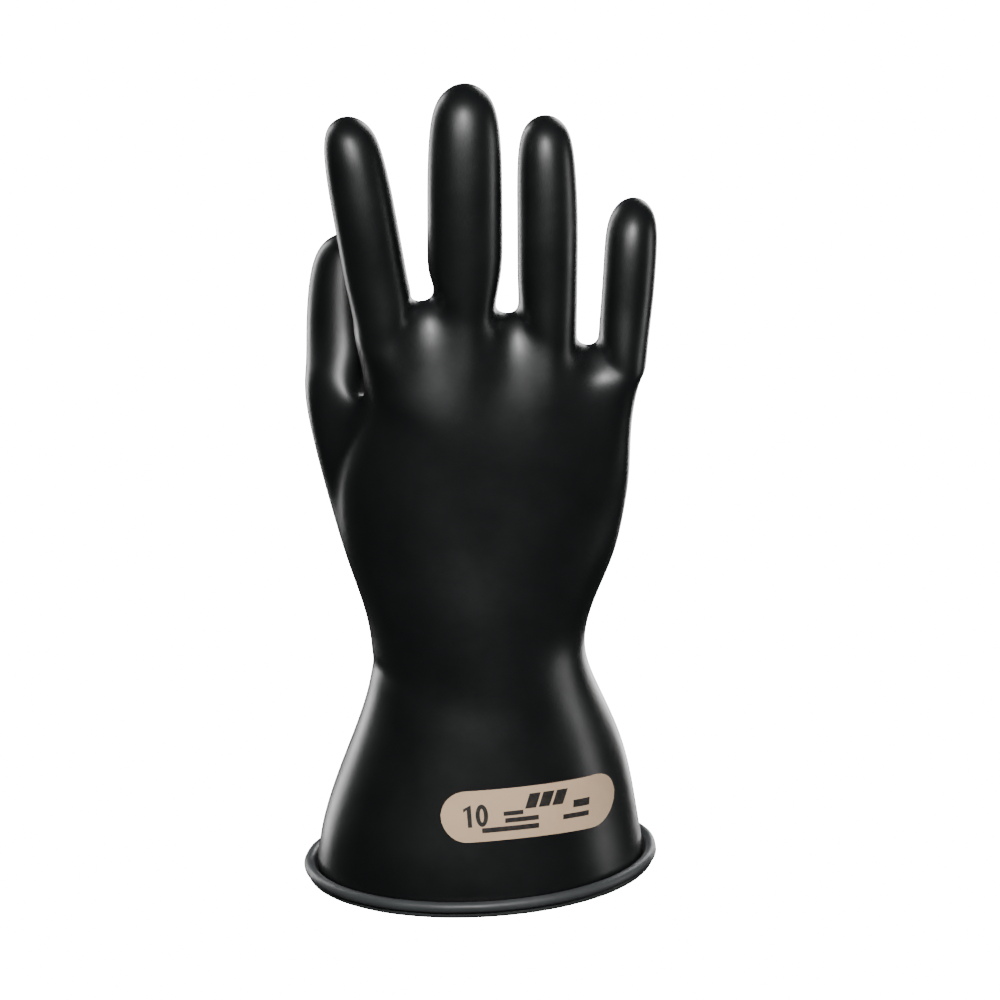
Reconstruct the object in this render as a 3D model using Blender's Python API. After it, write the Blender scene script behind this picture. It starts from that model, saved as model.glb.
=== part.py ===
"""Electrical insulating glove: one dipped rubber skin, a rolled cuff bead and a printed cuff label.

The skin is drawn as a coarse cage of quads, smoothed by a subdivision surface, and divided at the
lines where the rubber flexes. Lengths are in millimetres here and are turned into metres at the end.

Frame: +Z runs from the cuff to the fingertips, the cuff rim rests on z = 0, the back of the hand
faces -Y, the palm faces +Y and the thumb is on the -X side.
"""

import math
from collections import namedtuple

import bmesh
import bpy
from mathutils import Vector
from mathutils.bvhtree import BVHTree

MM = 0.001

# The rubber and the clearances between neighbouring pieces
SKIN = 0.7
GAP = 0.3

# The hand leans a little toward the little finger, so the cuff's centre is left of the box centre
HAND_LEAN = 0.037
CUFF_CENTRE_X = -4.0

# A closed ring of control points round a finger of radius r stands this much outside it
RING_OF_8 = 1.108

# Cage columns: one on each edge of the hand, and on the back and the palm side alike three for each
# finger and one for each web. The thumb opens between column 30 and column 0.
COLUMNS = 32
LITTLE_EDGE = 16
THUMB_COLUMNS = (30, 31, 0)

Finger = namedtuple("Finger", "name root_x tip_x tip_z root_half half_width half_depth crease flex")
FINGERS = (
    Finger("index", -34.0, -44.8, 268.0, 9.6, 10.7, 10.8, 222.0, 11.0),
    Finger("middle", -5.8, -4.8, 276.5, 10.5, 12.8, 11.8, 226.0, 12.0),
    Finger("ring", 22.6, 22.9, 263.5, 9.9, 10.3, 10.7, 220.0, 11.0),
    Finger("little", 48.5, 53.4, 232.5, 8.1, 9.0, 9.4, 206.0, 9.0),
)
FINGER_CURL = 9.0

# Height of the skin between the fingers, from the index finger's free edge to the little finger's
WEBS = (194.0, 206.0, 199.5, 186.0, 177.0)
WEB_RISE = 2.0
ROOT_DROP = 7.5
ROOT_DEPTH = 12.4
ROOT_SUPPORT = 4.5

# The skin dips between two knuckles, just below each web
WEB_DEPTH = 8.0
WEB_FALL = 6.5
VALLEY = 0.62

# Rings of the hand and the cuff: height at each edge, reach to each side, back and palm, how closely
# the columns follow the fingers across the hand, how much the knuckles show, how boxy the oval is,
# and how far the thumb side is turned toward the palm
Ring = namedtuple("Ring", "thumb_edge_z little_edge_z left right back palm like_fingers knuckles boxy turn")
RINGS = {
    "knuckle_top": Ring(189.0, 171.0, 43.4, 54.6, 15.2, 15.8, 0.95, 0.75, 3.4, 0.0),
    "knuckle_line": Ring(181.5, 159.0, 41.4, 52.4, 17.2, 18.6, 0.8, 0.35, 3.2, 0.5),
    "knuckle_foot": Ring(174.5, 147.0, 40.4, 51.8, 19.2, 21.2, 0.6, 0.1, 3.0, 1.0),
    "thumb_top": Ring(167.5, 137.0, 40.3, 51.6, 21.0, 23.0, 0.4, 0.0, 2.4, 4.5),
    "thumb_line": Ring(143.0, 124.0, 51.0, 49.6, 23.4, 27.0, 0.2, 0.0, 2.1, 10.0),
    "thumb_foot": Ring(117.0, 110.0, 48.0, 46.5, 26.6, 29.0, 0.1, 0.0, 2.0, 6.0),
    "wrist_top": Ring(97.0, 97.0, 39.9, 39.4, 29.8, 30.4, 0.0, 0.0, 2.0, 2.0),
    "wrist_line": Ring(76.0, 78.0, 36.6, 33.6, 32.2, 31.8, 0.0, 0.0, 2.0, 0.0),
    "wrist_foot": Ring(59.0, 59.0, 40.8, 42.8, 36.0, 35.6, 0.0, 0.0, 2.0, 0.0),
    "cuff_middle": Ring(40.0, 40.0, 48.6, 51.3, 40.8, 40.4, 0.0, 0.0, 2.0, 0.0),
    "cuff_lower": Ring(21.0, 21.0, 55.0, 54.0, 45.4, 45.2, 0.0, 0.0, 2.0, 0.0),
    "cuff_foot": Ring(9.0, 9.0, 56.8, 56.0, 48.0, 48.0, 0.0, 0.0, 2.0, 0.0),
    "cuff_edge": Ring(1.0, 1.0, 57.2, 57.0, 49.2, 49.2, 0.0, 0.0, 2.0, 0.0),
}

# The thumb stands in front of the index finger, with its first ring direction toward the hand
ThumbRing = namedtuple("ThumbRing", "x y z radius tilt")
THUMB_START_ANGLE = -60.0
THUMB_BASE = (ThumbRing(-47.0, 22.0, 166.0, 11.6, 40.0), ThumbRing(-43.8, 28.0, 176.0, 12.6, 26.0))
THUMB_FLEX = (ThumbRing(-43.0, 32.0, 184.0, 12.8, 18.0), ThumbRing(-42.6, 35.5, 194.0, 12.6, 12.0))
THUMB_TIP = ThumbRing(-41.6, 40.0, 219.0, 12.0, 8.0)

# Rounded end of every digit, in digit radii: how far below the tip and how wide each ring is
SHOULDER = (0.80, 0.96)
CROWN = (0.17, 0.58)
POLE = 0.20

# Rolled bead round the cuff's edge: (reach from the skin, height), anticlockwise from the flat foot
BEAD_SECTION = ((0.8, 0.0), (2.4, 0.0), (3.6, 0.6), (4.3, 1.8), (4.6, 3.2), (4.2, 4.6), (3.1, 5.5),
                (1.8, 5.5), (0.7, 4.8), (GAP, 3.6), (GAP, 1.0))

# Printed label on the back of the cuff: centre (across, up), size and tilt. A straight label laid on
# a cone rises in its middle, by its bow times the square of the distance along it.
LABEL_CENTRE = (10.0, 31.2)
LABEL_LENGTH = 62.0
LABEL_HEIGHT = 17.0
LABEL_TILT = math.radians(-3.6)
LABEL_BOW = 0.0017
LABEL_THICK = 0.4
PRINT_THICK = 0.25

# The ink, placed (across, up) from the label's centre: the size number, a plain mark of slanted
# blocks and plain lines where a maker's small print would be, as (across, up, length, height)
DIGIT_HEIGHT = 6.4
DIGIT_WIDTH = 3.6
DIGIT_STROKE = 1.15
DIGIT_ONE = (-20.2, 0.4)
DIGIT_ZERO = (-16.4, 0.4)
MARK_BLOCKS = ((0.8, 3.1), (5.2, 3.1), (9.6, 3.1))
MARK_SIZE = (3.2, 4.2)
MARK_SLANT = 0.35
LINES = ((-5.6, 0.6, 6.8, 1.5), (-3.2, -2.0, 11.8, 1.6), (-7.6, -4.9, 20.0, 1.8), (17.4, 0.2, 6.0, 2.6),
         (15.6, -3.6, 9.6, 1.8))

# Region of the skin each cage face belongs to, in the order the pieces are made
REGIONS = ("gauntlet_cuff", "wrist_flex", "palm", "knuckle_flex", "finger_roots", "thumb_base", "thumb_flex",
           "thumb_end", "index_flex", "index_end", "middle_flex", "middle_end", "ring_flex", "ring_end",
           "little_flex", "little_end")

# Name of the vertex layer that keeps the whole skin's normals while it is cut up
NORMAL_LAYER = "skin_normal"

RUBBER_BLACK = (0.012, 0.014, 0.014, 1.0)
BEAD_GREY = (0.030, 0.033, 0.034, 1.0)
LABEL_TAN = (0.62, 0.48, 0.34, 1.0)
INK_BLACK = (0.015, 0.014, 0.013, 1.0)


def clear_scene():
    for old in list(bpy.data.objects):
        bpy.data.objects.remove(old, do_unlink=True)


def principled(name, colour, roughness):
    material = bpy.data.materials.new(name)
    material.use_nodes = True
    shader = material.node_tree.nodes["Principled BSDF"]
    shader.inputs["Base Color"].default_value = colour
    shader.inputs["Roughness"].default_value = roughness
    return material


def lean(point):
    """Shift a point sideways by the hand's lean at its height."""
    return Vector((point.x + CUFF_CENTRE_X + HAND_LEAN * point.z, point.y, point.z))


def object_from(bm, name, material):
    """Make one named object, in metres, from a bmesh in millimetres."""
    bm.normal_update()
    mesh = bpy.data.meshes.new(name)
    bmesh.ops.scale(bm, vec=(MM, MM, MM), verts=bm.verts)
    bm.to_mesh(mesh)
    bm.free()
    mesh.materials.append(material)
    made = bpy.data.objects.new(name, mesh)
    bpy.context.scene.collection.objects.link(made)
    return made


# ---- the cage ----

def finger_ring(finger, z, half_width, half_depth):
    """Eight control points round a finger at one height, anticlockwise from its thumb side."""
    root_z = web_height(finger)
    along = (z - root_z) / (finger.tip_z - root_z)
    x = finger.root_x + (finger.tip_x - finger.root_x) * along
    y = FINGER_CURL * max(along, 0.0) ** 2
    points = []
    for step in range(8):
        angle = math.pi + step * math.pi / 4
        points.append(Vector((x + RING_OF_8 * half_width * math.cos(angle),
                              y + RING_OF_8 * half_depth * math.sin(angle), z)))
    return points


def web_height(finger):
    place = FINGERS.index(finger)
    return (WEBS[place] + WEBS[place + 1]) / 2


def finger_root(finger):
    """The ring where a finger leaves the hand: high at the webs, low on the back and the palm."""
    place = FINGERS.index(finger)
    left_z = WEBS[place] + WEB_RISE
    right_z = WEBS[place + 1] + WEB_RISE
    points = finger_ring(finger, web_height(finger), finger.root_half, ROOT_DEPTH)
    for step, point in enumerate(points):
        sideways = -math.cos(step * math.pi / 4)
        edge_z = left_z + (right_z - left_z) * (sideways + 1) / 2
        point.z = edge_z - (0.0 if step in (0, 4) else ROOT_DROP)
    return points


def web_line(near, far):
    """Three points across a web, from the back of the hand to the palm, between two finger roots."""
    height = (near[4].z + far[0].z) / 2 - WEB_RISE
    middle = (near[4].x + far[0].x) / 2
    edge = (near[3].x + far[1].x) / 2
    return [Vector((edge, -WEB_DEPTH, height - WEB_FALL)), Vector((middle, 0.0, height)),
            Vector((edge, WEB_DEPTH, height - WEB_FALL))]


def hand_outline(roots, webs):
    """What the finger roots and the webs show to the hand, in the order of the hand's columns."""
    back = [roots[0][0]]
    palm = []
    for place, root in enumerate(roots):
        back += root[1:4]
        palm += reversed(root[5:8])
        if place < len(webs):
            back.append(webs[place][0])
            palm.append(webs[place][2])
    return back + [roots[-1][4]] + palm[::-1]


def finger_columns():
    """Position of every column at the finger roots, as a share of the reach to its own side."""
    roots = [finger_root(finger) for finger in FINGERS]
    webs = [web_line(near, far) for near, far in zip(roots, roots[1:])]
    columns = hand_outline(roots, webs)
    left = -columns[0].x
    right = columns[LITTLE_EDGE].x
    depth = max(point.y for point in columns)
    shares = []
    for point in columns:
        in_valley = abs(point.y) == WEB_DEPTH
        y = math.copysign(VALLEY, point.y) if in_valley else point.y / depth
        shares.append((point.x / (left if point.x < 0 else right), y))
    return shares


def hand_ring(ring, columns):
    """The 32 control points of one ring of the hand or the cuff."""
    points = []
    for column, (finger_x, finger_y) in enumerate(columns):
        angle = math.pi + column * 2 * math.pi / COLUMNS
        across = math.cos(angle) + (finger_x - math.cos(angle)) * ring.like_fingers
        bulge = max(1 - abs(across) ** ring.boxy, 0.0) ** (1 / ring.boxy)
        oval = math.copysign(bulge, math.sin(angle))
        around = oval + (finger_y - oval) * ring.knuckles
        x = across * (ring.left if across < 0 else ring.right)
        y = around * (ring.back if around < 0 else ring.palm) + ring.turn * max(-across, 0.0) ** 3
        share = (across + 1) / 2
        z = ring.thumb_edge_z + (ring.little_edge_z - ring.thumb_edge_z) * share
        points.append(Vector((x, y, z)))
    return points


def thumb_ring(ring):
    """Eight control points round the thumb, anticlockwise from the side that faces the hand."""
    points = []
    tilt = math.radians(ring.tilt)
    for step in range(8):
        angle = math.radians(THUMB_START_ANGLE) + step * math.pi / 4
        x = RING_OF_8 * ring.radius * math.cos(angle)
        y = RING_OF_8 * ring.radius * math.sin(angle)
        points.append(Vector((ring.x + x, ring.y + y * math.cos(tilt), ring.z - y * math.sin(tilt))))
    return points


class Cage:
    """Builds the quads of the skin ring by ring and marks each with its region."""

    def __init__(self):
        self.bm = bmesh.new()

    def ring(self, points):
        return [self.bm.verts.new(lean(point)) for point in points]

    def face(self, corners, region):
        self.bm.faces.new(corners).material_index = REGIONS.index(region)

    def band(self, lower, upper, region, skip=()):
        count = len(lower)
        for step in range(count):
            if step in skip:
                continue
            after = (step + 1) % count
            self.face((lower[step], lower[after], upper[after], upper[step]), region)

    def cap(self, ring, pole, region):
        tip = self.bm.verts.new(lean(pole))
        for step in range(0, len(ring), 2):
            self.face((ring[step], ring[step + 1], ring[(step + 2) % len(ring)], tip), region)

    def tube(self, rings, region):
        for lower, upper in zip(rings, rings[1:]):
            self.band(lower, upper, region)


def add_finger(cage, finger, root):
    """A finger's flexing length, its end and its rounded tip."""
    width = finger.half_width
    depth = finger.half_depth
    support = cage.ring([point + Vector((0.0, 0.0, ROOT_SUPPORT)) for point in finger_root(finger)])
    levels = (finger.crease - finger.flex, finger.crease, finger.crease + finger.flex)
    flex = [cage.ring(finger_ring(finger, z, width, depth)) for z in levels]
    end = [flex[-1]]
    for below, share in (SHOULDER, CROWN):
        z = finger.tip_z - below * width
        end.append(cage.ring(finger_ring(finger, z, width * share, depth * share)))
    pole = Vector((finger.tip_x, FINGER_CURL, finger.tip_z + POLE * width))
    cage.tube((root, support, flex[0]), "finger_roots")
    cage.tube(flex, finger.name + "_flex")
    cage.tube(end, finger.name + "_end")
    cage.cap(end[-1], pole, finger.name + "_end")


def add_fingers(cage):
    """The four fingers and the webs between them. Returns the ring they share with the hand."""
    places = [finger_root(finger) for finger in FINGERS]
    roots = [cage.ring(points) for points in places]
    webs = [cage.ring(web_line(near, far)) for near, far in zip(places, places[1:])]
    for finger, root in zip(FINGERS, roots):
        add_finger(cage, finger, root)
    for near, far, (front, middle, back) in zip(roots, roots[1:], webs):
        cage.face((near[3], front, middle, near[4]), "finger_roots")
        cage.face((front, far[1], far[0], middle), "finger_roots")
        cage.face((near[4], middle, back, near[5]), "finger_roots")
        cage.face((middle, far[0], far[7], back), "finger_roots")
    return hand_outline(roots, webs)


def add_thumb(cage, top, line, foot):
    """The thumb grows from a hole two columns wide and two rings high at the hand's edge."""
    palm, middle, edge = THUMB_COLUMNS
    hole = (top[middle], top[palm], line[palm], foot[palm], foot[middle], foot[edge], line[edge], top[edge])
    base = [hole] + [cage.ring(thumb_ring(ring)) for ring in THUMB_BASE]
    flex = [base[-1]] + [cage.ring(thumb_ring(ring)) for ring in THUMB_FLEX]
    end = [flex[-1]]
    for below, share in (SHOULDER, CROWN):
        z = THUMB_TIP.z - below * THUMB_TIP.radius
        end.append(cage.ring(thumb_ring(THUMB_TIP._replace(z=z, radius=THUMB_TIP.radius * share))))
    pole = Vector((THUMB_TIP.x, THUMB_TIP.y, THUMB_TIP.z + POLE * THUMB_TIP.radius))
    cage.tube(base, "thumb_base")
    cage.tube(flex, "thumb_flex")
    cage.tube(end, "thumb_end")
    cage.cap(end[-1], pole, "thumb_end")
    cage.bm.verts.remove(line[middle])


def build_cage():
    cage = Cage()
    columns = finger_columns()
    rings = {name: cage.ring(hand_ring(ring, columns)) for name, ring in RINGS.items()}
    shared = add_fingers(cage)
    cage.band(rings["knuckle_top"], shared, "finger_roots")
    cage.tube((rings["knuckle_foot"], rings["knuckle_line"], rings["knuckle_top"]), "knuckle_flex")
    cage.band(rings["thumb_top"], rings["knuckle_foot"], "palm")
    cage.band(rings["thumb_line"], rings["thumb_top"], "palm", skip=THUMB_COLUMNS[:2])
    cage.band(rings["thumb_foot"], rings["thumb_line"], "palm", skip=THUMB_COLUMNS[:2])
    cage.band(rings["wrist_top"], rings["thumb_foot"], "palm")
    cage.tube((rings["wrist_foot"], rings["wrist_line"], rings["wrist_top"]), "wrist_flex")
    cage.tube((rings["cuff_edge"], rings["cuff_foot"], rings["cuff_lower"], rings["cuff_middle"],
               rings["wrist_foot"]), "gauntlet_cuff")
    add_thumb(cage, rings["thumb_top"], rings["thumb_line"], rings["thumb_foot"])
    return cage.bm


def smooth_skin(cage):
    """The cage after one level of subdivision, as a bmesh in millimetres."""
    mesh = bpy.data.meshes.new("cage")
    for region in REGIONS:
        mesh.materials.append(bpy.data.materials.new("region_" + region))
    cage.to_mesh(mesh)
    cage.free()
    holder = bpy.data.objects.new("cage", mesh)
    bpy.context.scene.collection.objects.link(holder)
    smoother = holder.modifiers.new("smooth", "SUBSURF")
    smoother.levels = 1
    smoother.render_levels = 1
    ready = holder.evaluated_get(bpy.context.evaluated_depsgraph_get())
    skin = bmesh.new()
    skin.from_mesh(bpy.data.meshes.new_from_object(ready))
    skin.normal_update()
    normals = skin.verts.layers.float_vector.new(NORMAL_LAYER)
    for vert in skin.verts:
        vert[normals] = vert.normal
    bpy.data.objects.remove(holder, do_unlink=True)
    return skin


# ---- the skin's pieces ----

def pull_back_edges(bm, normals):
    """Draw a region's cut edges back by half the gap, along the surface."""
    cut = [vert for vert in bm.verts if vert.is_boundary]
    moves = {}
    for vert in cut:
        inward = Vector()
        for face in vert.link_faces:
            inward += face.calc_center_median() - vert.co
        normal = vert[normals]
        inward -= normal * inward.dot(normal)
        moves[vert] = inward.normalized() * GAP / 2
    for vert, move in moves.items():
        vert.co += move


def thicken(bm, normals):
    """Close a sheet into a shell whose inner wall is one skin thickness inside."""
    outer_faces = list(bm.faces)
    rim = [edge.link_loops[0] for edge in bm.edges if edge.is_boundary]
    rim = [(loop.vert, loop.link_loop_next.vert) for loop in rim]
    inner = {}
    for vert in list(bm.verts):
        inner[vert] = bm.verts.new(vert.co - vert[normals] * SKIN)
    for face in outer_faces:
        bm.faces.new([inner[vert] for vert in reversed(face.verts)])
    for start, end in rim:
        bm.faces.new((end, start, inner[start], inner[end]))


def skin_piece(skin, region, material):
    """Cut one region out of the skin and give it its thickness."""
    bm = skin.copy()
    number = REGIONS.index(region)
    normals = bm.verts.layers.float_vector[NORMAL_LAYER]
    others = [face for face in bm.faces if face.material_index != number]
    bmesh.ops.delete(bm, geom=others, context="FACES")
    for face in bm.faces:
        face.material_index = 0
    pull_back_edges(bm, normals)
    thicken(bm, normals)
    return object_from(bm, region, material)


def make_bead(skin, material):
    """Sweep the bead's section round the free edge of the cuff."""
    centre = lean(Vector((0.0, 0.0, 1.0)))
    edge = [vert.co.copy() for vert in skin.verts if vert.is_boundary]
    edge.sort(key=lambda point: math.atan2(point.y - centre.y, point.x - centre.x))
    bm = bmesh.new()
    rings = []
    for place, point in enumerate(edge):
        along = edge[(place + 1) % len(edge)] - edge[place - 1]
        outward = Vector((along.y, -along.x, 0.0)).normalized()
        base = Vector((point.x, point.y, 0.0))
        ring = []
        for reach, height in BEAD_SECTION:
            ring.append(bm.verts.new(base + outward * reach + Vector((0.0, 0.0, height))))
        rings.append(ring)
    for place, ring in enumerate(rings):
        after = rings[(place + 1) % len(rings)]
        for step in range(len(ring)):
            above = (step + 1) % len(ring)
            bm.faces.new((ring[step], after[step], after[above], ring[above]))
    return object_from(bm, "cuff_bead", material)


# ---- the label ----

def label_point(tree, along, up, height):
    """A point of the label's plane laid on the back of the cuff, raised by a height."""
    turn = LABEL_TILT - 2 * LABEL_BOW * along
    drop = LABEL_BOW * along ** 2
    x = LABEL_CENTRE[0] + along * math.cos(LABEL_TILT) - up * math.sin(turn)
    z = LABEL_CENTRE[1] + along * math.sin(LABEL_TILT) + up * math.cos(turn) - drop
    start = lean(Vector((x, -200.0, z)))
    place, normal, _, _ = tree.ray_cast(start, Vector((0.0, 1.0, 0.0)))
    return place + normal * height


def stadium_grid(length, height, columns, rows):
    """Rows of (along, up) points that fill a bar with round ends."""
    radius = height / 2
    grid = []
    for column in range(columns + 1):
        turn = math.pi * column / columns
        along = -math.cos(turn) * length / 2
        beyond = max(abs(along) - (length / 2 - radius), 0.0)
        half = max(math.sqrt(max(radius ** 2 - beyond ** 2, 0.0)), radius * 0.18)
        grid.append([(along, half * (2 * row / rows - 1)) for row in range(rows + 1)])
    return grid


def oval_grid(width, height, stroke, columns):
    """Rows of (along, up) points that go once round an oval ring."""
    grid = []
    for column in range(columns + 1):
        turn = 2 * math.pi * column / columns
        inner = (math.cos(turn) * (width / 2 - stroke), math.sin(turn) * (height / 2 - stroke))
        outer = (math.cos(turn) * width / 2, math.sin(turn) * height / 2)
        grid.append([inner, outer])
    return grid


def block_grid(width, height, slant=0.0):
    """Rows of (along, up) points that fill a rectangle, or a slanted block."""
    grid = []
    columns = max(2, round(width / 3.0))
    for column in range(columns + 1):
        along = (column / columns - 0.5) * width
        grid.append([(along + up * slant, up) for up in (-height / 2, height / 2)])
    return grid


def one_grid():
    """Pairs of (along, up) points down the figure 1: its short flag, then its stem."""
    half = DIGIT_HEIGHT / 2
    side = DIGIT_STROKE / 2
    return [[(-1.9, half - 2.3), (-1.9, half - 1.2)], [(-side, half - 1.5), (side, half)],
            [(-side, 0.0), (side, 0.0)], [(-side, -half), (side, -half)]]


def plate_on_cuff(tree, grid, centre, lift, thick, name, material, loops=False):
    """A thin plate, drawn as a grid, that follows the cuff's surface."""
    columns = len(grid) - 1 if loops else len(grid)
    low = []
    high = []
    bm = bmesh.new()
    for points in grid[:columns]:
        spots = [(centre[0] + along, centre[1] + up) for along, up in points]
        low.append([bm.verts.new(label_point(tree, *spot, lift)) for spot in spots])
        high.append([bm.verts.new(label_point(tree, *spot, lift + thick)) for spot in spots])
    rows = len(grid[0])
    last = columns if loops else columns - 1
    for column in range(last):
        after = (column + 1) % columns
        for row in range(rows - 1):
            bm.faces.new((high[column][row], high[after][row], high[after][row + 1], high[column][row + 1]))
            bm.faces.new((low[column][row + 1], low[after][row + 1], low[after][row], low[column][row]))
        bm.faces.new((low[column][0], low[after][0], high[after][0], high[column][0]))
        bm.faces.new((high[column][-1], high[after][-1], low[after][-1], low[column][-1]))
    if not loops:
        for row in range(rows - 1):
            bm.faces.new((low[0][row], high[0][row], high[0][row + 1], low[0][row + 1]))
            bm.faces.new((low[-1][row + 1], high[-1][row + 1], high[-1][row], low[-1][row]))
    bmesh.ops.recalc_face_normals(bm, faces=bm.faces)
    return object_from(bm, name, material)


def make_label(skin):
    """The tan label with its size number 10, its mark and its plain lines."""
    tree = BVHTree.FromBMesh(skin)
    tan = principled("label_tan", LABEL_TAN, 0.5)
    patch = stadium_grid(LABEL_LENGTH, LABEL_HEIGHT, 22, 5)
    plate_on_cuff(tree, patch, (0.0, 0.0), GAP, LABEL_THICK, "cuff_label", tan)
    lift = 2 * GAP + LABEL_THICK

    def ink(grid, centre, name, loops=False):
        material = principled("ink_" + name, INK_BLACK, 0.55)
        plate_on_cuff(tree, grid, centre, lift, PRINT_THICK, "label_" + name, material, loops)

    ink(one_grid(), DIGIT_ONE, "digit_1")
    ink(oval_grid(DIGIT_WIDTH, DIGIT_HEIGHT, DIGIT_STROKE, 16), DIGIT_ZERO, "digit_0", loops=True)
    for number, centre in enumerate(MARK_BLOCKS, start=1):
        ink(block_grid(*MARK_SIZE, MARK_SLANT), centre, f"mark_{number}")
    for number, (along, up, length, height) in enumerate(LINES, start=1):
        ink(block_grid(length, height), (along, up), f"line_{number}")


def main():
    clear_scene()
    skin = smooth_skin(build_cage())
    for region in REGIONS:
        skin_piece(skin, region, principled("rubber_" + region, RUBBER_BLACK, 0.38))
    make_bead(skin, principled("rubber_bead", BEAD_GREY, 0.42))
    make_label(skin)
    skin.free()
    for spare in [material for material in bpy.data.materials if material.users == 0]:
        bpy.data.materials.remove(spare)


main()
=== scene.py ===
import math
from collections import namedtuple

import bmesh
import bpy
from mathutils import Matrix, Vector, noise
from mathutils.bvhtree import BVHTree


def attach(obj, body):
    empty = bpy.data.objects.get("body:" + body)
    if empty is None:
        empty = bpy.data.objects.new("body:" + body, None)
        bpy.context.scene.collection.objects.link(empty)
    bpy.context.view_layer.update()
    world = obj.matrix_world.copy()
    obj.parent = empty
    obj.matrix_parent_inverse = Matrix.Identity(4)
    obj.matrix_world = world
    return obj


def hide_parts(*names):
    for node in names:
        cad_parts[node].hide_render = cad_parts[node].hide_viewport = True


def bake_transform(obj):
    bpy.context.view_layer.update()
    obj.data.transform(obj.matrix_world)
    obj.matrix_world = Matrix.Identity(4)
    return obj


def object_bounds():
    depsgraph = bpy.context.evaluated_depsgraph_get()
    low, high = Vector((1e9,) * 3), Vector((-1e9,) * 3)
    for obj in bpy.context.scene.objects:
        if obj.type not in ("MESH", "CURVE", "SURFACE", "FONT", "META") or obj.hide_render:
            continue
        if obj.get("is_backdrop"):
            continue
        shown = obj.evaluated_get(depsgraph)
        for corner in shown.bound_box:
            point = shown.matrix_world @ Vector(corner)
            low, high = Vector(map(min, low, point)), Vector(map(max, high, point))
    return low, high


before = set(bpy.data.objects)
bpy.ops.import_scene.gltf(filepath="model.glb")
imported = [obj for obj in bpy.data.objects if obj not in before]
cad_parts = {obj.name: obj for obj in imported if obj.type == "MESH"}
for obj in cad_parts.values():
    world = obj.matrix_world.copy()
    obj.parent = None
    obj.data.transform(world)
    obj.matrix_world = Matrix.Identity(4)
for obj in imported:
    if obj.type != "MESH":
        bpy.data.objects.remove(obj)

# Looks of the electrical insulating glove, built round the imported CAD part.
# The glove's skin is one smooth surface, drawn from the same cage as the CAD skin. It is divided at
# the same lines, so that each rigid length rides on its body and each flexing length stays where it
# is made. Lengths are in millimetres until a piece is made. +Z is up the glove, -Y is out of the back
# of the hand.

CAD_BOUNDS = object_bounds()

MM = 0.001
SMOOTH_LEVELS = 3

# Thickness of the dipped rubber
SKIN = 0.7

# The hand leans a little toward the little finger, so the cuff's centre is left of the box centre
HAND_LEAN = 0.037
CUFF_CENTRE_X = -4.0

# A closed ring of control points round a finger of radius r stands this much outside it
RING_OF_8 = 1.108

# Cage columns: one on each edge of the hand, and on the back and the palm side alike three for each
# finger and one for each web. The thumb opens between column 30 and column 0.
COLUMNS = 32
LITTLE_EDGE = 16
THUMB_COLUMNS = (30, 31, 0)

Finger = namedtuple("Finger", "name root_x tip_x tip_z root_half half_width half_depth crease flex")
FINGERS = (
    Finger("index", -34.0, -44.8, 268.0, 9.6, 10.7, 10.8, 222.0, 11.0),
    Finger("middle", -5.8, -4.8, 276.5, 10.5, 12.8, 11.8, 226.0, 12.0),
    Finger("ring", 22.6, 22.9, 263.5, 9.9, 10.3, 10.7, 220.0, 11.0),
    Finger("little", 48.5, 53.4, 232.5, 8.1, 9.0, 9.4, 206.0, 9.0),
)
FINGER_CURL = 9.0

# Height of the skin between the fingers, from the index finger's free edge to the little finger's
WEBS = (194.0, 206.0, 199.5, 186.0, 177.0)
WEB_RISE = 2.0
ROOT_DROP = 7.5
ROOT_DEPTH = 12.4
ROOT_SUPPORT = 4.5

# The skin dips between two knuckles, just below each web
WEB_DEPTH = 8.0
WEB_FALL = 6.5
VALLEY = 0.62

# Rings of the hand and the cuff: height at each edge, reach to each side, back and palm, how closely
# the columns follow the fingers across the hand, how much the knuckles show, how boxy the oval is,
# and how far the thumb side is turned toward the palm
Ring = namedtuple("Ring", "thumb_edge_z little_edge_z left right back palm like_fingers knuckles boxy turn")
RINGS = {
    "knuckle_top": Ring(189.0, 171.0, 43.4, 54.6, 16.8, 16.2, 0.95, 0.5, 3.0, 0.0),
    "knuckle_line": Ring(181.5, 159.0, 41.4, 52.4, 18.2, 18.8, 0.8, 0.2, 2.9, 0.5),
    "knuckle_foot": Ring(174.5, 147.0, 40.4, 51.8, 19.6, 21.2, 0.6, 0.05, 2.7, 1.0),
    "thumb_top": Ring(167.5, 137.0, 40.3, 51.6, 21.0, 23.0, 0.4, 0.0, 2.4, 4.5),
    "thumb_line": Ring(143.0, 124.0, 51.0, 49.6, 23.4, 27.0, 0.2, 0.0, 2.1, 10.0),
    "thumb_foot": Ring(117.0, 110.0, 48.0, 46.5, 26.6, 29.0, 0.1, 0.0, 2.0, 6.0),
    "wrist_top": Ring(97.0, 97.0, 39.9, 39.4, 29.8, 30.4, 0.0, 0.0, 2.0, 2.0),
    "wrist_line": Ring(76.0, 78.0, 36.6, 33.6, 32.2, 31.8, 0.0, 0.0, 2.0, 0.0),
    "wrist_foot": Ring(59.0, 59.0, 40.8, 42.8, 36.0, 35.6, 0.0, 0.0, 2.0, 0.0),
    "cuff_middle": Ring(40.0, 40.0, 48.6, 51.3, 40.8, 40.4, 0.0, 0.0, 2.0, 0.0),
    "cuff_lower": Ring(21.0, 21.0, 55.0, 54.0, 45.4, 45.2, 0.0, 0.0, 2.0, 0.0),
    "cuff_foot": Ring(9.0, 9.0, 56.8, 56.0, 48.0, 48.0, 0.0, 0.0, 2.0, 0.0),
    "cuff_edge": Ring(1.0, 1.0, 57.2, 57.0, 49.2, 49.2, 0.0, 0.0, 2.0, 0.0),
}

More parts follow.
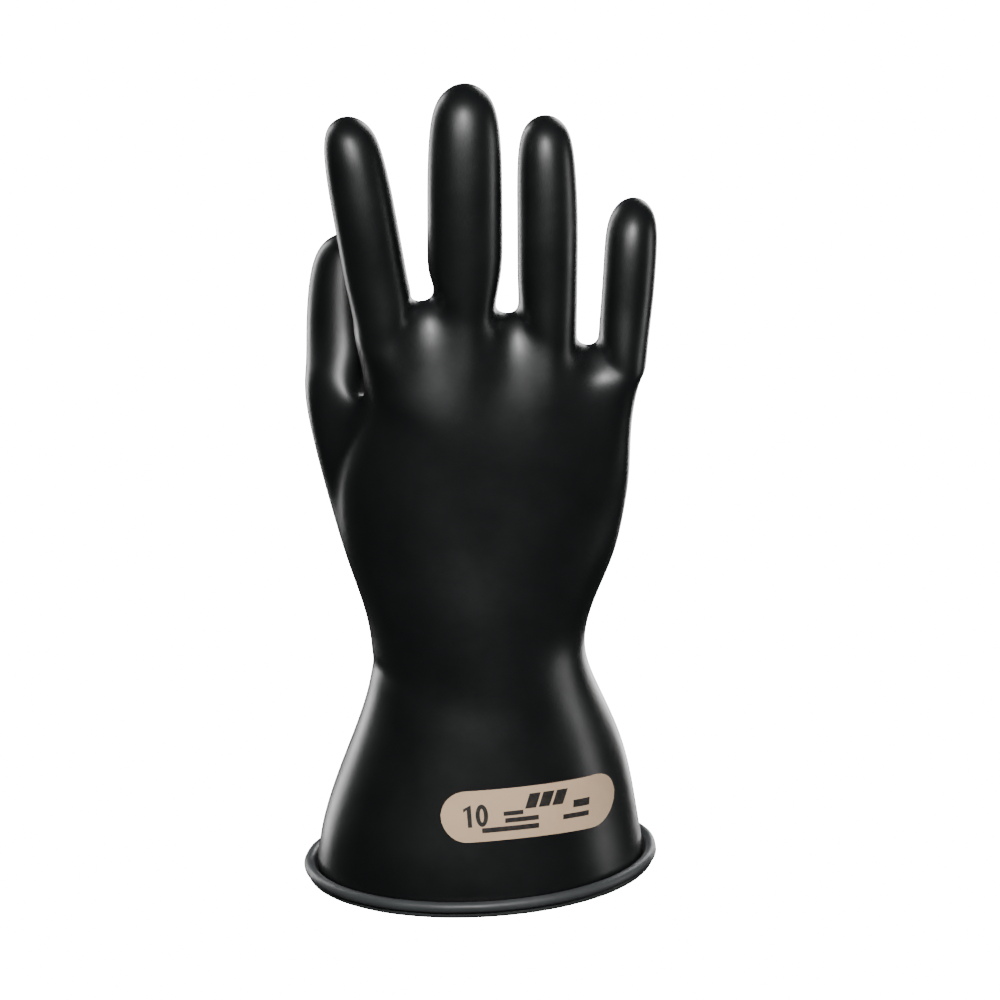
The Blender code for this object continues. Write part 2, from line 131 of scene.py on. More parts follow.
# The thumb stands in front of the index finger, with its first ring direction toward the hand
ThumbRing = namedtuple("ThumbRing", "x y z radius tilt")
THUMB_START_ANGLE = -60.0
THUMB_BASE = (ThumbRing(-47.0, 22.0, 166.0, 11.6, 40.0), ThumbRing(-43.8, 28.0, 176.0, 12.6, 26.0))
THUMB_FLEX = (ThumbRing(-43.0, 32.0, 184.0, 12.8, 18.0), ThumbRing(-42.6, 35.5, 194.0, 12.6, 12.0))
THUMB_TIP = ThumbRing(-41.6, 40.0, 219.0, 12.0, 8.0)

# Rounded end of every digit, in digit radii: how far below the tip and how wide each ring is
SHOULDER = (0.80, 0.96)
CROWN = (0.17, 0.58)
POLE = 0.20

# Printed label on the back of the cuff: centre (across, up), size and tilt. A straight label laid on
# a cone rises in its middle, by its bow times the square of the distance along it.
LABEL_CENTRE = (11.3, 33.2)
LABEL_LENGTH = 62.0
LABEL_HEIGHT = 17.0
LABEL_TILT = math.radians(-1.8)
LABEL_BOW = 0.0017
LABEL_THICK = 0.30
LABEL_SINK = 0.05
LABEL_EDGE = 0.05
INK_THICK = 0.06
INK_SINK = 0.02

# The ink, placed (across, up) from the label's centre: the size number, a plain mark of slanted
# blocks and plain lines where a maker's small print would be, as (across, up, length, height)
DIGIT_HEIGHT = 7.4
DIGIT_WIDTH = 4.2
DIGIT_STROKE = 1.4
DIGIT_ONE = (-21.6, 0.2)
DIGIT_ZERO = (-17.4, 0.2)
MARK_BLOCKS = ((0.2, 3.6), (5.0, 3.6), (9.8, 3.6))
MARK_SIZE = (3.8, 4.8)
MARK_SLANT = 0.35
LINES = ((-6.6, 0.2, 6.8, 1.4), (-3.6, -2.1, 11.8, 1.5), (-7.6, -4.8, 20.0, 1.6), (17.8, 0.6, 6.0, 2.4),
         (16.0, -3.2, 9.6, 1.6))

# Region of the skin each cage face belongs to, in the order the pieces are made
REGIONS = ("gauntlet_cuff", "wrist_flex", "palm", "knuckle_flex", "finger_roots", "thumb_base", "thumb_flex",
           "thumb_end", "index_flex", "index_end", "middle_flex", "middle_end", "ring_flex", "ring_end",
           "little_flex", "little_end")

# The rolled bead: a fat upper roll over a smaller, inset lower one. Each is a round of the section,
# with its reach from the skin, height and radius, and the degrees it starts at and turns through.
BeadRound = namedtuple("BeadRound", "reach height radius start turn steps")
BEAD_FOLD = BeadRound(1.9, 1.45, 1.45, -62.0, 92.0, 7)
BEAD_ROLL = BeadRound(2.5, 3.7, 2.0, -38.0, 230.0, 17)
BEAD_FOOT = ((-0.4, 0.2), (0.6, 0.0), (2.2, 0.0))
BEAD_INSIDE = (-0.4, 2.3)
BEAD_SWELL = 0.05
BEAD_SWELL_SIZE = 9.0

# The body each rigid region rides on
RIDES = {"gauntlet_cuff": "cuff", "palm": "hand", "thumb_base": "hand", "finger_roots": "fingers",
         "thumb_end": "thumb", "index_end": "index_finger_end", "middle_end": "middle_finger_end",
         "ring_end": "ring_finger_end", "little_end": "little_finger_end"}

NORMAL_LAYER = "skin_normal"


# ---- the cage of the skin ----

def lean(point):
    """Shift a point sideways by the hand's lean at its height."""
    return Vector((point.x + CUFF_CENTRE_X + HAND_LEAN * point.z, point.y, point.z))


def finger_ring(finger, z, half_width, half_depth):
    """Eight control points round a finger at one height, anticlockwise from its thumb side."""
    root_z = web_height(finger)
    along = (z - root_z) / (finger.tip_z - root_z)
    x = finger.root_x + (finger.tip_x - finger.root_x) * along
    y = FINGER_CURL * max(along, 0.0) ** 2
    points = []
    for step in range(8):
        angle = math.pi + step * math.pi / 4
        points.append(Vector((x + RING_OF_8 * half_width * math.cos(angle),
                              y + RING_OF_8 * half_depth * math.sin(angle), z)))
    return points


def web_height(finger):
    place = FINGERS.index(finger)
    return (WEBS[place] + WEBS[place + 1]) / 2


def finger_root(finger):
    """The ring where a finger leaves the hand: high at the webs, low on the back and the palm."""
    place = FINGERS.index(finger)
    left_z = WEBS[place] + WEB_RISE
    right_z = WEBS[place + 1] + WEB_RISE
    points = finger_ring(finger, web_height(finger), finger.root_half, ROOT_DEPTH)
    for step, point in enumerate(points):
        sideways = -math.cos(step * math.pi / 4)
        edge_z = left_z + (right_z - left_z) * (sideways + 1) / 2
        point.z = edge_z - (0.0 if step in (0, 4) else ROOT_DROP)
    return points


def web_line(near, far):
    """Three points across a web, from the back of the hand to the palm, between two finger roots."""
    height = (near[4].z + far[0].z) / 2 - WEB_RISE
    middle = (near[4].x + far[0].x) / 2
    edge = (near[3].x + far[1].x) / 2
    return [Vector((edge, -WEB_DEPTH, height - WEB_FALL)), Vector((middle, 0.0, height)),
            Vector((edge, WEB_DEPTH, height - WEB_FALL))]


def hand_outline(roots, webs):
    """What the finger roots and the webs show to the hand, in the order of the hand's columns."""
    back = [roots[0][0]]
    palm = []
    for place, root in enumerate(roots):
        back += root[1:4]
        palm += reversed(root[5:8])
        if place < len(webs):
            back.append(webs[place][0])
            palm.append(webs[place][2])
    return back + [roots[-1][4]] + palm[::-1]


def finger_columns():
    """Position of every column at the finger roots, as a share of the reach to its own side."""
    roots = [finger_root(finger) for finger in FINGERS]
    webs = [web_line(near, far) for near, far in zip(roots, roots[1:])]
    columns = hand_outline(roots, webs)
    left = -columns[0].x
    right = columns[LITTLE_EDGE].x
    depth = max(point.y for point in columns)
    shares = []
    for point in columns:
        in_valley = abs(point.y) == WEB_DEPTH
        y = math.copysign(VALLEY, point.y) if in_valley else point.y / depth
        shares.append((point.x / (left if point.x < 0 else right), y))
    return shares


def hand_ring(ring, columns):
    """The 32 control points of one ring of the hand or the cuff."""
    points = []
    for column, (finger_x, finger_y) in enumerate(columns):
        angle = math.pi + column * 2 * math.pi / COLUMNS
        across = math.cos(angle) + (finger_x - math.cos(angle)) * ring.like_fingers
        bulge = max(1 - abs(across) ** ring.boxy, 0.0) ** (1 / ring.boxy)
        oval = math.copysign(bulge, math.sin(angle))
        around = oval + (finger_y - oval) * ring.knuckles
        x = across * (ring.left if across < 0 else ring.right)
        y = around * (ring.back if around < 0 else ring.palm) + ring.turn * max(-across, 0.0) ** 3
        share = (across + 1) / 2
        z = ring.thumb_edge_z + (ring.little_edge_z - ring.thumb_edge_z) * share
        points.append(Vector((x, y, z)))
    return points


def thumb_ring(ring):
    """Eight control points round the thumb, anticlockwise from the side that faces the hand."""
    points = []
    tilt = math.radians(ring.tilt)
    for step in range(8):
        angle = math.radians(THUMB_START_ANGLE) + step * math.pi / 4
        x = RING_OF_8 * ring.radius * math.cos(angle)
        y = RING_OF_8 * ring.radius * math.sin(angle)
        points.append(Vector((ring.x + x, ring.y + y * math.cos(tilt), ring.z - y * math.sin(tilt))))
    return points


class Cage:
    """Builds the quads of the skin ring by ring and marks each with its region."""

    def __init__(self):
        self.bm = bmesh.new()

    def ring(self, points):
        return [self.bm.verts.new(lean(point)) for point in points]

    def face(self, corners, region):
        self.bm.faces.new(corners).material_index = REGIONS.index(region)

    def band(self, lower, upper, region, skip=()):
        count = len(lower)
        for step in range(count):
            if step in skip:
                continue
            after = (step + 1) % count
            self.face((lower[step], lower[after], upper[after], upper[step]), region)

    def cap(self, ring, pole, region):
        tip = self.bm.verts.new(lean(pole))
        for step in range(0, len(ring), 2):
            self.face((ring[step], ring[step + 1], ring[(step + 2) % len(ring)], tip), region)

    def tube(self, rings, region):
        for lower, upper in zip(rings, rings[1:]):
            self.band(lower, upper, region)


def add_finger(cage, finger, root):
    """A finger's flexing length, its end and its rounded tip."""
    width = finger.half_width
    depth = finger.half_depth
    support = cage.ring([point + Vector((0.0, 0.0, ROOT_SUPPORT)) for point in finger_root(finger)])
    levels = (finger.crease - finger.flex, finger.crease, finger.crease + finger.flex)
    flex = [cage.ring(finger_ring(finger, z, width, depth)) for z in levels]
    end = [flex[-1]]
    for below, share in (SHOULDER, CROWN):
        z = finger.tip_z - below * width
        end.append(cage.ring(finger_ring(finger, z, width * share, depth * share)))
    pole = Vector((finger.tip_x, FINGER_CURL, finger.tip_z + POLE * width))
    cage.tube((root, support, flex[0]), "finger_roots")
    cage.tube(flex, finger.name + "_flex")
    cage.tube(end, finger.name + "_end")
    cage.cap(end[-1], pole, finger.name + "_end")


def add_fingers(cage):
    """The four fingers and the webs between them. Returns the ring they share with the hand."""
    places = [finger_root(finger) for finger in FINGERS]
    roots = [cage.ring(points) for points in places]
    webs = [cage.ring(web_line(near, far)) for near, far in zip(places, places[1:])]
    for finger, root in zip(FINGERS, roots):
        add_finger(cage, finger, root)
    for near, far, (front, middle, back) in zip(roots, roots[1:], webs):
        cage.face((near[3], front, middle, near[4]), "finger_roots")
        cage.face((front, far[1], far[0], middle), "finger_roots")
        cage.face((near[4], middle, back, near[5]), "finger_roots")
        cage.face((middle, far[0], far[7], back), "finger_roots")
    return hand_outline(roots, webs)


def add_thumb(cage, top, line, foot):
    """The thumb grows from a hole two columns wide and two rings high at the hand's edge."""
    palm, middle, edge = THUMB_COLUMNS
    hole = (top[middle], top[palm], line[palm], foot[palm], foot[middle], foot[edge], line[edge], top[edge])
    base = [hole] + [cage.ring(thumb_ring(ring)) for ring in THUMB_BASE]
    flex = [base[-1]] + [cage.ring(thumb_ring(ring)) for ring in THUMB_FLEX]
    end = [flex[-1]]
    for below, share in (SHOULDER, CROWN):
        z = THUMB_TIP.z - below * THUMB_TIP.radius
        end.append(cage.ring(thumb_ring(THUMB_TIP._replace(z=z, radius=THUMB_TIP.radius * share))))
    pole = Vector((THUMB_TIP.x, THUMB_TIP.y, THUMB_TIP.z + POLE * THUMB_TIP.radius))
    cage.tube(base, "thumb_base")
    cage.tube(flex, "thumb_flex")
    cage.tube(end, "thumb_end")
    cage.cap(end[-1], pole, "thumb_end")
    cage.bm.verts.remove(line[middle])


def build_cage():
    cage = Cage()
    columns = finger_columns()
    rings = {name: cage.ring(hand_ring(ring, columns)) for name, ring in RINGS.items()}
    shared = add_fingers(cage)
    cage.band(rings["knuckle_top"], shared, "finger_roots")
    cage.tube((rings["knuckle_foot"], rings["knuckle_line"], rings["knuckle_top"]), "knuckle_flex")
    cage.band(rings["thumb_top"], rings["knuckle_foot"], "palm")
    cage.band(rings["thumb_line"], rings["thumb_top"], "palm", skip=THUMB_COLUMNS[:2])
    cage.band(rings["thumb_foot"], rings["thumb_line"], "palm", skip=THUMB_COLUMNS[:2])
    cage.band(rings["wrist_top"], rings["thumb_foot"], "palm")
    cage.tube((rings["wrist_foot"], rings["wrist_line"], rings["wrist_top"]), "wrist_flex")
    cage.tube((rings["cuff_edge"], rings["cuff_foot"], rings["cuff_lower"], rings["cuff_middle"],
               rings["wrist_foot"]), "gauntlet_cuff")
    add_thumb(cage, rings["thumb_top"], rings["thumb_line"], rings["thumb_foot"])
    return cage.bm


def smooth_skin(cage):
    """The cage after subdivision, shaped a little by the listed dents and ripple, as a bmesh in millimetres.
    """
    mesh = bpy.data.meshes.new("cage")
    for region in REGIONS:
        mesh.materials.append(bpy.data.materials.new("region_" + region))
    cage.to_mesh(mesh)
    cage.free()
    holder = bpy.data.objects.new("cage", mesh)
    bpy.context.scene.collection.objects.link(holder)
    smoother = holder.modifiers.new("smooth", "SUBSURF")
    smoother.levels = SMOOTH_LEVELS
    smoother.render_levels = SMOOTH_LEVELS
    ready = holder.evaluated_get(bpy.context.evaluated_depsgraph_get())
    skin = bmesh.new()
    skin.from_mesh(bpy.data.meshes.new_from_object(ready))
    bpy.data.objects.remove(holder, do_unlink=True)
    skin.normal_update()
    shape_rubber(skin)
    skin.normal_update()
    normals = skin.verts.layers.float_vector.new(NORMAL_LAYER)
    for vert in skin.verts:
        vert[normals] = vert.normal
    return skin


# ---- detail of the rubber ----

Dent = namedtuple("Dent", "place size depth")
DENTS = (
    # shallow hollow down the little-finger side of the cuff
    Dent((42.0, -20.0, 40.0), (9.0, 16.0, 24.0), 0.9),
    # fold where the cuff buckles in at the thumb side of the wrist
    Dent((-38.0, -8.0, 76.0), (8.0, 14.0, 3.0), 0.9),
    # soft hollows on the back of the hand and the wrist
    Dent((-6.0, -24.0, 128.0), (18.0, 12.0, 26.0), 0.6),
    Dent((22.0, -30.0, 84.0), (14.0, 12.0, 10.0), 0.6),
    Dent((-10.0, -34.0, 70.0), (20.0, 12.0, 8.0), 0.5),
)

# Slight unevenness of dipped rubber. It fades out toward the edge of the cuff, where the bead sits.
RIPPLE_HEIGHT = 0.22
RIPPLE_SIZE = 26.0
RIPPLE_START_Z = 6.0
RIPPLE_FADE = 14.0


def shape_rubber(skin):
    """Press shallow dents into the skin and give it the slight unevenness of dipped rubber."""
    moves = []
    for vert in skin.verts:
        push = 0.0
        for dent in DENTS:
            offset = [(vert.co[axis] - dent.place[axis]) / dent.size[axis] for axis in range(3)]
            push += dent.depth * math.exp(-sum(step * step for step in offset))
        fade = min(max((vert.co.z - RIPPLE_START_Z) / RIPPLE_FADE, 0.0), 1.0)
        ripple = noise.noise(vert.co / RIPPLE_SIZE) * RIPPLE_HEIGHT * fade
        moves.append(vert.normal * (ripple - push))
    for vert, move in zip(skin.verts, moves):
        vert.co += move


# ---- the skin's pieces ----

def thicken(bm, normals):
    """Close a sheet into a shell whose inner wall is one skin thickness inside."""
    outer_faces = list(bm.faces)
    rim = [edge.link_loops[0] for edge in bm.edges if edge.is_boundary]
    rim = [(loop.vert, loop.link_loop_next.vert) for loop in rim]
    inner = {}
    for vert in list(bm.verts):
        inner[vert] = bm.verts.new(vert.co - vert[normals] * SKIN)
        inner[vert][normals] = -vert[normals]
    for face in outer_faces:
        face.smooth = True
        bm.faces.new([inner[vert] for vert in reversed(face.verts)]).smooth = True
    for start, end in rim:
        bm.faces.new((end, start, inner[start], inner[end]))


def keep_normals(mesh):
    """Give smooth faces the whole skin's normals, so that two pieces meet without a visible line."""
    stored = mesh.attributes[NORMAL_LAYER].data
    wanted = [Vector((0.0, 0.0, 0.0))] * len(mesh.loops)
    for face in mesh.polygons:
        for loop in face.loop_indices:
            smooth = stored[mesh.loops[loop].vertex_index].vector
            wanted[loop] = Vector(smooth if face.use_smooth else face.normal)
    mesh.normals_split_custom_set(wanted)
    mesh.attributes.remove(mesh.attributes[NORMAL_LAYER])


def object_from(bm, name, material):
    """Make one named object, in metres, from a bmesh in millimetres."""
    bmesh.ops.scale(bm, vec=(MM, MM, MM), verts=bm.verts)
    mesh = bpy.data.meshes.new(name)
    bm.to_mesh(mesh)
    bm.free()
    mesh.materials.append(material)
    made = bpy.data.objects.new(name, mesh)
    bpy.context.scene.collection.objects.link(made)
    return made


def skin_piece(skin, region, material):
    """Cut one region out of the skin and give it its thickness."""
    bm = skin.copy()
    number = REGIONS.index(region)
    others = [face for face in bm.faces if face.material_index != number]
    bmesh.ops.delete(bm, geom=others, context="FACES")
    for face in bm.faces:
        face.material_index = 0
    thicken(bm, bm.verts.layers.float_vector[NORMAL_LAYER])
    piece = object_from(bm, region + "_rubber", material)
    keep_normals(piece.data)
    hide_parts(region)
    if region in RIDES:
        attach(piece, RIDES[region])
    else:
        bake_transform(piece)


def bead_section():
    """Points round the bead's section, anticlockwise from its flat foot, bonded into the skin."""
    points = list(BEAD_FOOT)
    for part in (BEAD_FOLD, BEAD_ROLL):
        for step in range(part.steps + 1):
            angle = math.radians(part.start + part.turn * step / part.steps)
            points.append((part.reach + part.radius * math.cos(angle),
                           part.height + part.radius * math.sin(angle)))
    points.append(BEAD_INSIDE)
    return points


def make_bead(skin, material):
    """Sweep the bead's section round the free edge of the cuff."""
    centre = lean(Vector((0.0, 0.0, 1.0)))
    edge = [vert.co.copy() for vert in skin.verts if vert.is_boundary]
    edge.sort(key=lambda point: math.atan2(point.y - centre.y, point.x - centre.x))
    section = bead_section()
    bm = bmesh.new()
    rings = []
    for place, point in enumerate(edge):
        along = edge[(place + 1) % len(edge)] - edge[place - 1]
        outward = Vector((along.y, -along.x, 0.0)).normalized()
        base = Vector((point.x, point.y, 0.0))
        swell = 1.0 + BEAD_SWELL * noise.noise(base / BEAD_SWELL_SIZE)
        ring = []
        for reach, height in section:
            ring.append(bm.verts.new(base + outward * reach * swell + Vector((0.0, 0.0, height))))
        rings.append(ring)
    for place, ring in enumerate(rings):
        after = rings[(place + 1) % len(rings)]
        for step in range(len(ring)):
            above = (step + 1) % len(ring)
            bm.faces.new((ring[step], after[step], after[above], ring[above])).smooth = True
    bead = object_from(bm, "rolled_bead", material)
    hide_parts("cuff_bead")
    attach(bead, "cuff")


# ---- the label ----

def label_point(tree, along, up, height):
    """A point of the label's plane laid on the back of the cuff, raised by a height."""
    turn = LABEL_TILT - 2 * LABEL_BOW * along
    drop = LABEL_BOW * along ** 2
    x = LABEL_CENTRE[0] + along * math.cos(LABEL_TILT) - up * math.sin(turn)
    z = LABEL_CENTRE[1] + along * math.sin(LABEL_TILT) + up * math.cos(turn) - drop
    start = lean(Vector((x, -200.0, z)))
    place, normal, _, _ = tree.ray_cast(start, Vector((0.0, 1.0, 0.0)))
    return place + normal * height


def stadium_grid(length, height, columns, rows):
    """Rows of (along, up) points that fill a bar with round ends."""
    radius = height / 2
    grid = []
    for column in range(columns + 1):
        turn = math.pi * column / columns
        along = -math.cos(turn) * length / 2
        beyond = max(abs(along) - (length / 2 - radius), 0.0)
        half = max(math.sqrt(max(radius ** 2 - beyond ** 2, 0.0)), radius * 0.18)
        grid.append([(along, half * (2 * row / rows - 1)) for row in range(rows + 1)])
    return grid


def oval_grid(width, height, stroke, columns):
    """Rows of (along, up) points that go once round an oval ring."""
    grid = []
    for column in range(columns + 1):
        turn = 2 * math.pi * column / columns
        inner = (math.cos(turn) * (width / 2 - stroke), math.sin(turn) * (height / 2 - stroke))
        outer = (math.cos(turn) * width / 2, math.sin(turn) * height / 2)
        grid.append([inner, outer])
    return grid


def block_grid(width, height, slant=0.0):
    """Rows of (along, up) points that fill a rectangle, or a slanted block."""
    grid = []
    columns = max(2, round(width / 0.8))
    for column in range(columns + 1):
        along = (column / columns - 0.5) * width
        grid.append([(along + up * slant, up) for up in (-height / 2, 0.0, height / 2)])
    return grid


def one_grid():
    """Pairs of (along, up) points down the figure 1: its short flag, then its stem."""
    half = DIGIT_HEIGHT / 2
    side = DIGIT_STROKE / 2
    return [[(-1.9, half - 2.3), (-1.9, half - 1.2)], [(-side, half - 1.5), (side, half)],
            [(-side, 0.0), (side, 0.0)], [(-side, -half), (side, -half)]]


def add_plate(bm, tree, grid, centre, low_height, high_height, loops=False):
    """Add a thin plate, drawn as a grid, that follows the cuff's surface."""
    columns = len(grid) - 1 if loops else len(grid)
    low = []
    high = []
    for points in grid[:columns]:
        spots = [(centre[0] + along, centre[1] + up) for along, up in points]
        low.append([bm.verts.new(label_point(tree, *spot, low_height)) for spot in spots])
        high.append([bm.verts.new(label_point(tree, *spot, high_height)) for spot in spots])
    rows = len(grid[0])
    made = []
    last = columns if loops else columns - 1
    for column in range(last):
        after = (column + 1) % columns
        for row in range(rows - 1):
            made.append(bm.faces.new((high[column][row], high[after][row], high[after][row + 1],
                                      high[column][row + 1])))
            made.append(bm.faces.new((low[column][row + 1], low[after][row + 1], low[after][row],
                                      low[column][row])))
        made.append(bm.faces.new((low[column][0], low[after][0], high[after][0], high[column][0])))
        made.append(bm.faces.new((high[column][-1], high[after][-1], low[after][-1], low[column][-1])))
    if not loops:
        for row in range(rows - 1):
            made.append(bm.faces.new((low[0][row], high[0][row], high[0][row + 1], low[0][row + 1])))
            made.append(bm.faces.new((low[-1][row + 1], high[-1][row + 1], high[-1][row], low[-1][row])))
    bmesh.ops.recalc_face_normals(bm, faces=made)


def label_part(bm, name, node, material):
    piece = object_from(bm, name, material)
    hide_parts(node)
    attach(piece, "cuff")
    return piece


def make_label(skin, tan, ink):
    """The tan label with its size number 10, its mark and its plain lines."""
    tree = BVHTree.FromBMesh(skin)
    bm = bmesh.new()
    patch = stadium_grid(LABEL_LENGTH, LABEL_HEIGHT, 36, 10)
    add_plate(bm, tree, patch, (0.0, 0.0), -LABEL_SINK, LABEL_THICK)
    label = label_part(bm, "size_label", "cuff_label", tan)
    edge = label.modifiers.new("soft_edge", "BEVEL")
    edge.width = LABEL_EDGE * MM
    edge.segments = 2
    edge.limit_method = "ANGLE"

    def print_ink(grid, centre, name, loops=False):
        bm = bmesh.new()
        add_plate(bm, tree, grid, centre, LABEL_THICK - INK_SINK, LABEL_THICK + INK_THICK, loops)
        label_part(bm, "ink_" + name, "label_" + name, ink)

    print_ink(one_grid(), DIGIT_ONE, "digit_1")
    print_ink(oval_grid(DIGIT_WIDTH, DIGIT_HEIGHT, DIGIT_STROKE, 40), DIGIT_ZERO, "digit_0", loops=True)
    for number, centre in enumerate(MARK_BLOCKS, start=1):
        print_ink(block_grid(*MARK_SIZE, MARK_SLANT), centre, f"mark_{number}")
    for number, (along, up, length, height) in enumerate(LINES, start=1):
        print_ink(block_grid(length, height), (along, up), f"line_{number}")


# ---- materials ----

class Paint:
    """A Principled material and the few nodes that vary it."""

    def __init__(self, name):
        self.material = bpy.data.materials.new(name)
        self.material.use_nodes = True
        self.nodes = self.material.node_tree.nodes
        self.links = self.material.node_tree.links
        self.shader = self.nodes["Principled BSDF"]
        self.place = self.nodes.new("ShaderNodeTexCoord").outputs["Object"]

    def noise(self, scale, detail=4.0, roughness=0.5):
        node = self.nodes.new("ShaderNodeTexNoise")
        node.inputs["Scale"].default_value = scale
        node.inputs["Detail"].default_value = detail
        node.inputs["Roughness"].default_value = roughness
        self.links.new(self.place, node.inputs["Vector"])
        return node.outputs["Fac"]

    def ramp(self, value, low, high, start=0.35, end=0.65):
        """A value from 0 to 1 turned into a grey or a colour between two ends."""
        node = self.nodes.new("ShaderNodeValToRGB")
        node.color_ramp.elements[0].position = start
        node.color_ramp.elements[1].position = end
        node.color_ramp.elements[0].color = low
        node.color_ramp.elements[1].color = high
        self.links.new(value, node.inputs["Fac"])
        return node.outputs["Color"]

    def bump(self, value, distance, strength, below=None):
        node = self.nodes.new("ShaderNodeBump")
        node.inputs["Distance"].default_value = distance
        node.inputs["Strength"].default_value = strength
        self.links.new(value, node.inputs["Height"])
        if below is not None:
            self.links.new(below, node.inputs["Normal"])
        return node.outputs["Normal"]

    def use(self, socket, value):
        self.links.new(value, self.shader.inputs[socket])


def grey(level):
    return (level, level, level, 1.0)


BLACK_RUBBER = ((0.0040, 0.0047, 0.0049, 1.0), (0.0062, 0.0072, 0.0075, 1.0))
BEAD_RUBBER = ((0.046, 0.050, 0.052, 1.0), (0.062, 0.067, 0.070, 1.0))


def rubber_paint(name, colours, rough_low, rough_high):
    """Smooth dipped rubber: satin, with a faint bloom and a very fine skin texture."""
    paint = Paint(name)
    paint.use("Base Color", paint.ramp(paint.noise(38.0, 5.0, 0.6), *colours))
    paint.use("Roughness", paint.ramp(paint.noise(55.0, 6.0, 0.6), grey(rough_low), grey(rough_high)))
    grain = paint.bump(paint.noise(2600.0, 3.0), 0.00002, 0.25)
    paint.use("Normal", paint.bump(paint.noise(210.0, 2.0), 0.00012, 0.25, grain))
    paint.shader.inputs["Specular IOR Level"].default_value = 0.5
    return paint.material


def label_paint():
    """Matt tan plastic film with faint handling marks."""
    paint = Paint("label_film")
    paint.use("Base Color", paint.ramp(paint.noise(90.0, 6.0, 0.6), (0.72, 0.50, 0.32, 1.0),
                                       (0.78, 0.56, 0.37, 1.0), 0.3, 0.7))
    paint.use("Roughness", paint.ramp(paint.noise(160.0, 4.0), grey(0.42), grey(0.58)))
    paint.use("Normal", paint.bump(paint.noise(900.0, 3.0), 0.00003, 0.3))
    return paint.material


def ink_paint():
    """Matt black ink, slightly uneven where it is thin."""
    paint = Paint("label_ink")
    paint.use("Base Color", paint.ramp(paint.noise(700.0, 5.0, 0.7), (0.012, 0.011, 0.010, 1.0),
                                       (0.05, 0.042, 0.034, 1.0), 0.4, 0.8))
    paint.use("Roughness", paint.ramp(paint.noise(500.0, 3.0), grey(0.5), grey(0.7)))
    paint.use("Normal", paint.bump(paint.noise(1500.0, 3.0), 0.00002, 0.3))
    return paint.material


# ---- studio ----

CAMERA_AZIMUTH = 8.0
CAMERA_HEIGHT = 17.5
CAMERA_ROLL = -2.13
CAMERA_DISTANCE = 2.4
CAMERA_LENS = 253.5
CAMERA_AIM = Vector((0.0, 0.0, 0.140))
CAMERA_SHIFT = (0.022, -0.0215)


def add_camera():
    camera = bpy.data.cameras.new("camera")
    holder = bpy.data.objects.new("camera", camera)
    bpy.context.scene.collection.objects.link(holder)
    bpy.context.scene.camera = holder
    turn = math.radians(CAMERA_AZIMUTH)
    rise = math.radians(CAMERA_HEIGHT)
    back = Vector((-math.sin(turn) * math.cos(rise), -math.cos(turn) * math.cos(rise), math.sin(rise)))
    holder.location = CAMERA_AIM + back * CAMERA_DISTANCE
    facing = (-back).to_track_quat("-Z", "Y").to_matrix().to_4x4()
    roll = Matrix.Rotation(math.radians(CAMERA_ROLL), 4, "Z")
    holder.rotation_euler = (facing @ roll).to_euler()
    camera.sensor_width = 36.0
    camera.lens = CAMERA_LENS
    camera.shift_x, camera.shift_y = CAMERA_SHIFT
    camera.clip_end = 50.0


# Softboxes as (place, aim, width, height, power). The front one hangs just above the fingers, so
# that it draws a streak down each finger and leaves the back of the hand dark.
SOFTBOXES = {
    "front_above": ((-0.10, -0.60, 0.66), (0.01, 0.0, 0.23), 0.70, 0.28, 5.0),
    "right_behind": ((0.66, 1.02, 0.24), (0.0, 0.0, 0.12), 0.36, 1.2, 12.0),
    "left_behind": ((-0.70, 1.05, 0.30), (0.0, 0.0, 0.14), 0.3, 1.2, 12.0),
    "right_low": ((1.00, -0.10, 0.10), (0.0, 0.0, 0.05), 0.3, 0.5, 2.0),
    "label_light": ((-0.3, -1.9, 1.9), (0.0, 0.0, 0.03), 0.4, 0.4, 42.0),
}
ROOM_LIGHT = 0.05
PAPER_LIGHT = 20.0

# The paper runs back from its front edge, bends up through a quarter circle and ends at its top. It
# lies a hair below the cuff bead.
PAPER_FRONT = -30.0
PAPER_BEND = 1.6
PAPER_RADIUS = 1.4
PAPER_STEPS = 12
PAPER_TOP = 5.0
PAPER_SIDE = 6.0
PAPER_DROP = 0.0002


def add_softbox(name, place, aim, width, height, power):
    """A rectangular area light that faces a point."""
    light = bpy.data.lights.new(name, "AREA")
    light.shape = "RECTANGLE"
    light.size = width
    light.size_y = height
    light.energy = power
    holder = bpy.data.objects.new(name, light)
    bpy.context.scene.collection.objects.link(holder)
    holder.visible_camera = False
    holder.location = place
    holder.rotation_euler = (Vector(aim) - Vector(place)).to_track_quat("-Z", "Y").to_euler()


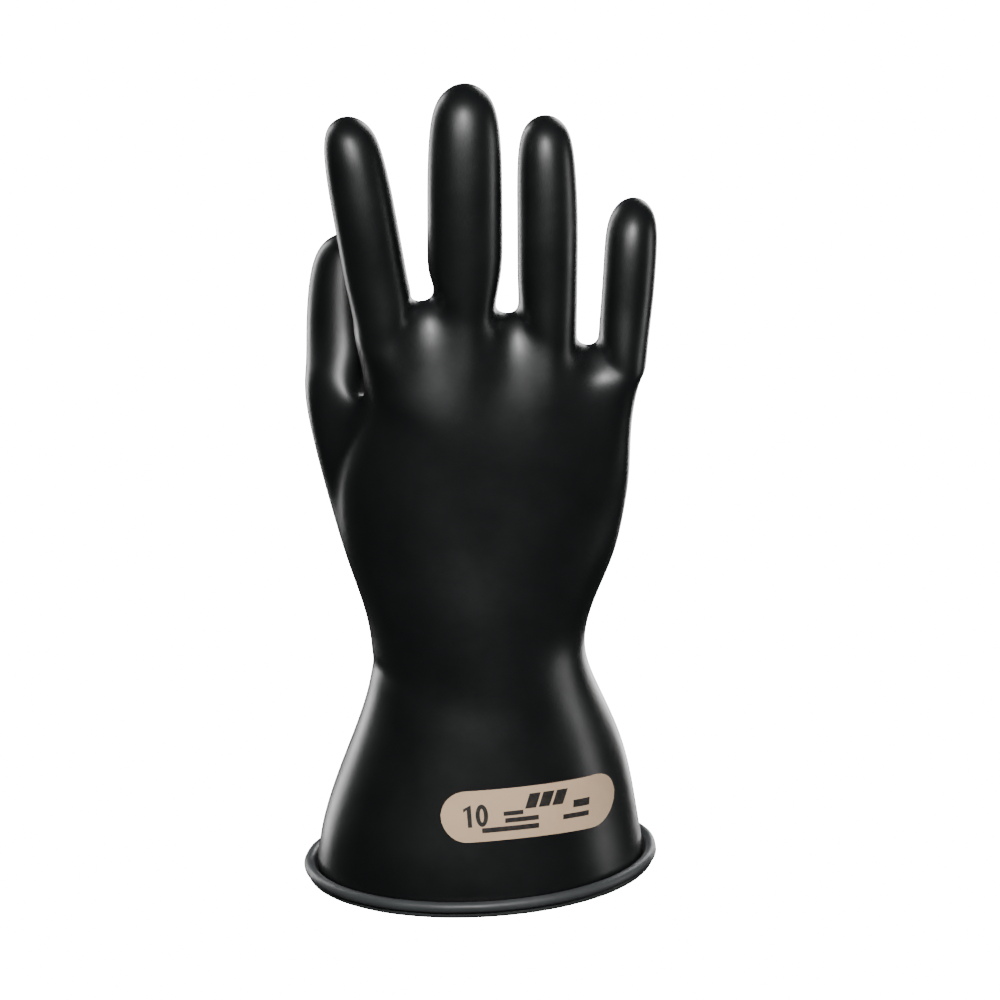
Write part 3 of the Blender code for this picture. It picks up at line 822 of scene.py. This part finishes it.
def floor_paint():
    """White paper lit from behind, almost even."""
    paint = Paint("floor_paper")
    paint.use("Base Color", paint.ramp(paint.noise(3.0, 2.0), grey(0.86), grey(0.88)))
    paint.use("Emission Color", paint.ramp(paint.noise(2.0, 2.0), grey(0.98), grey(1.0)))
    paint.shader.inputs["Emission Strength"].default_value = PAPER_LIGHT
    paint.shader.inputs["Roughness"].default_value = 0.9
    return paint.material


def add_floor():
    """A pale floor that curves up into the backdrop. It does not light or reflect in the rubber."""
    bm = bmesh.new()
    profile = [(PAPER_FRONT, 0.0), (PAPER_BEND, 0.0)]
    for step in range(1, PAPER_STEPS + 1):
        angle = math.radians(90 * step / PAPER_STEPS)
        profile.append((PAPER_BEND + PAPER_RADIUS * math.sin(angle), PAPER_RADIUS * (1 - math.cos(angle))))
    profile.append((PAPER_BEND + PAPER_RADIUS, PAPER_TOP))
    rows = [[bm.verts.new((x, y, z - PAPER_DROP)) for x in (-PAPER_SIDE, PAPER_SIDE)] for y, z in profile]
    for lower, upper in zip(rows, rows[1:]):
        bm.faces.new((lower[0], lower[1], upper[1], upper[0])).smooth = True
    mesh = bpy.data.meshes.new("floor")
    bm.to_mesh(mesh)
    bm.free()
    mesh.materials.append(floor_paint())
    floor = bpy.data.objects.new("floor", mesh)
    floor.visible_glossy = False
    floor.visible_diffuse = False
    bpy.context.scene.collection.objects.link(floor)
    floor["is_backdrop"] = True


def light_studio():
    world = bpy.data.worlds.new("studio")
    world.use_nodes = True
    shade = world.node_tree.nodes["Background"]
    shade.inputs["Color"].default_value = (0.94, 0.98, 1.0, 1.0)
    shade.inputs["Strength"].default_value = ROOM_LIGHT
    bpy.context.scene.world = world
    for name, settings in SOFTBOXES.items():
        add_softbox(name, *settings)


# ---- build ----

def build_glove():
    skin = smooth_skin(build_cage())
    rubber = rubber_paint("black_rubber", BLACK_RUBBER, 0.34, 0.40)
    bead_rubber = rubber_paint("bead_rubber", BEAD_RUBBER, 0.42, 0.52)
    for region in REGIONS:
        skin_piece(skin, region, rubber)
    make_bead(skin, bead_rubber)
    make_label(skin, label_paint(), ink_paint())
    skin.free()
    for spare in [material for material in bpy.data.materials if material.users == 0]:
        bpy.data.materials.remove(spare)


build_glove()
add_floor()
light_studio()
add_camera()
sizes = {"cad": CAD_BOUNDS, "visual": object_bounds()}
sizes = {name: [list(corner) for corner in bounds] for name, bounds in sizes.items()}
